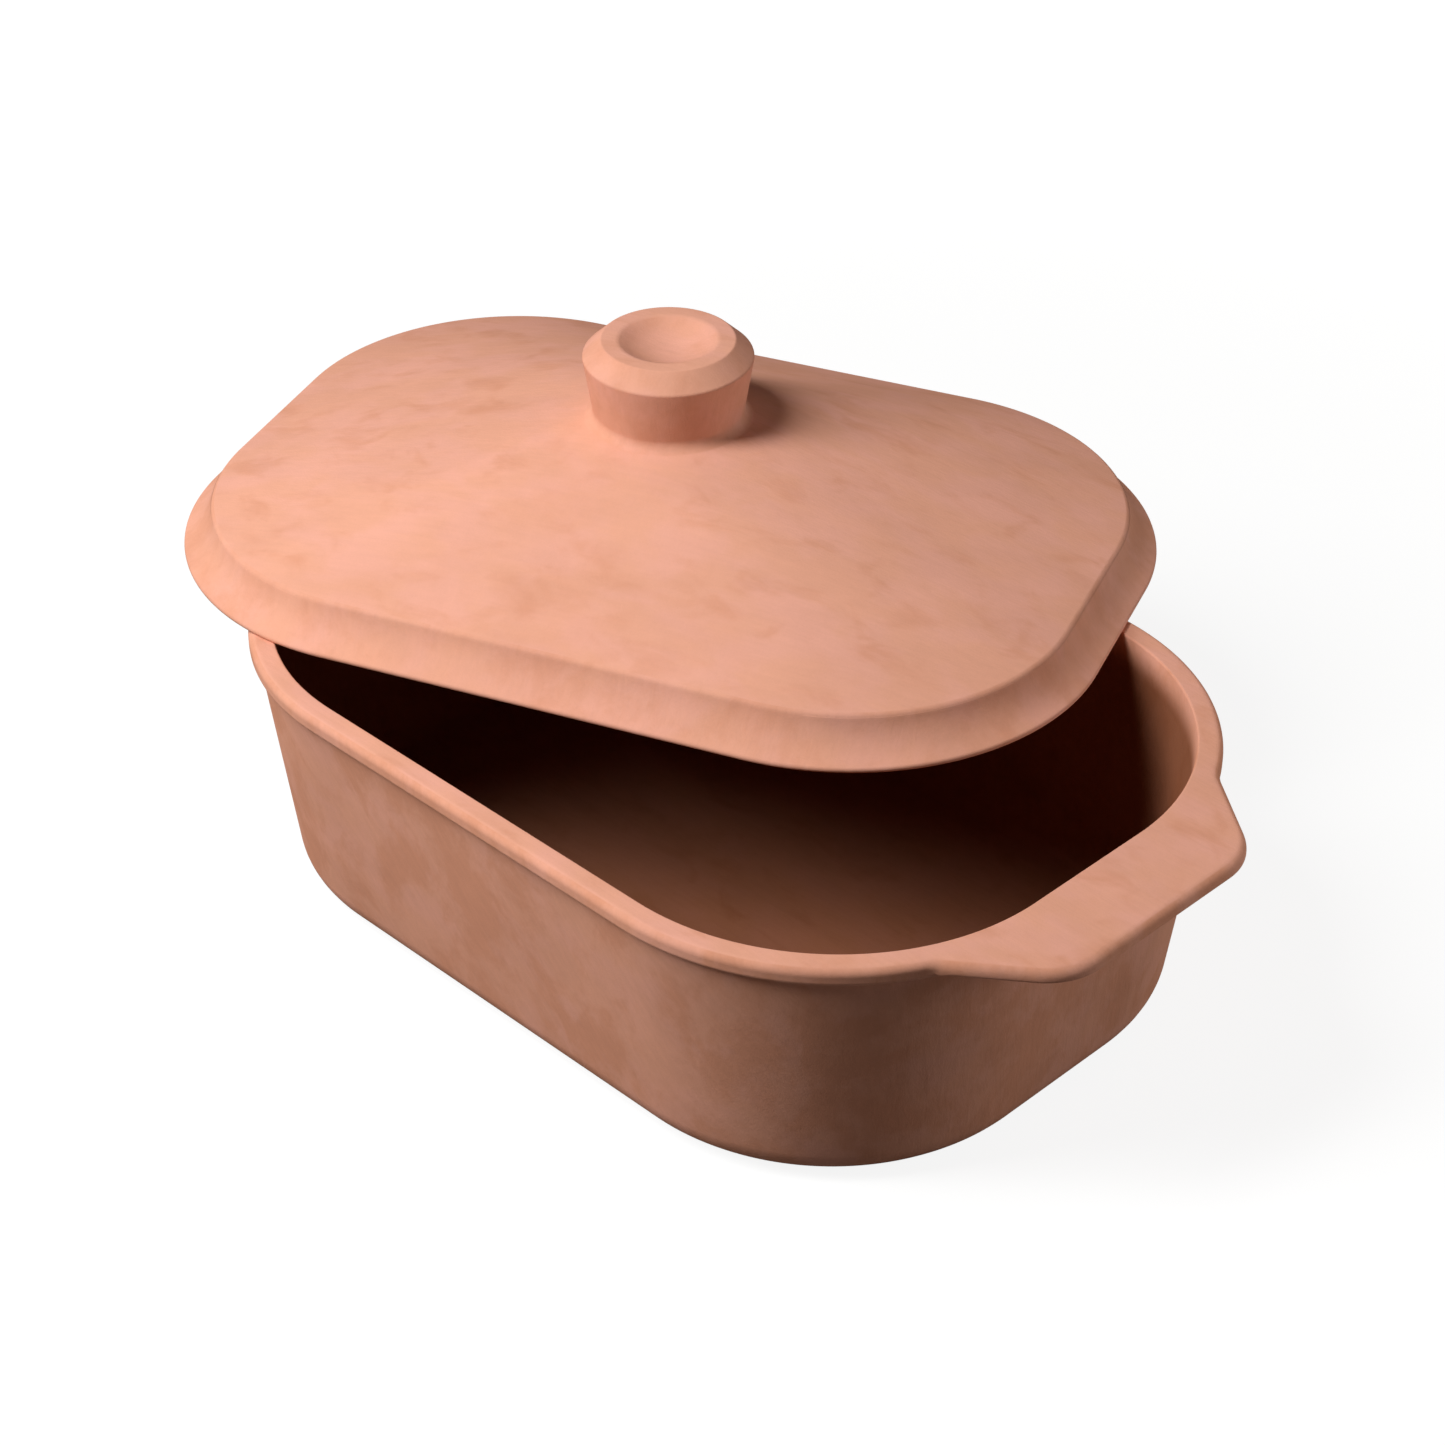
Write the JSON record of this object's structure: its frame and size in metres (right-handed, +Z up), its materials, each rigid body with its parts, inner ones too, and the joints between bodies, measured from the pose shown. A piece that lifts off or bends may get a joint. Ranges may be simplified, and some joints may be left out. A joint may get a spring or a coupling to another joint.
{
  "type": "clay roaster",
  "caption": "Oblong unglazed clay roasting dish with flat end handles and a domed lid with a round knob, lying turned on the rim.",
  "frame": {"origin": "middle of the dish's flat underside, on the surface it stands on", "axes": "+X along the length of the dish, towards the handle that the lid leaves free; +Y towards the side over which the lid is pushed; +Z up"},
  "size_m": [0.4295, 0.3063, 0.1723],
  "materials": {
    "dish_clay": "matte unglazed fired clay",
    "lid_clay": "matte unglazed fired clay"
  },
  "bodies": {
    "root": {"dish": "dish_clay", "lid": "lid_clay"}
  },
  "joints": []
}
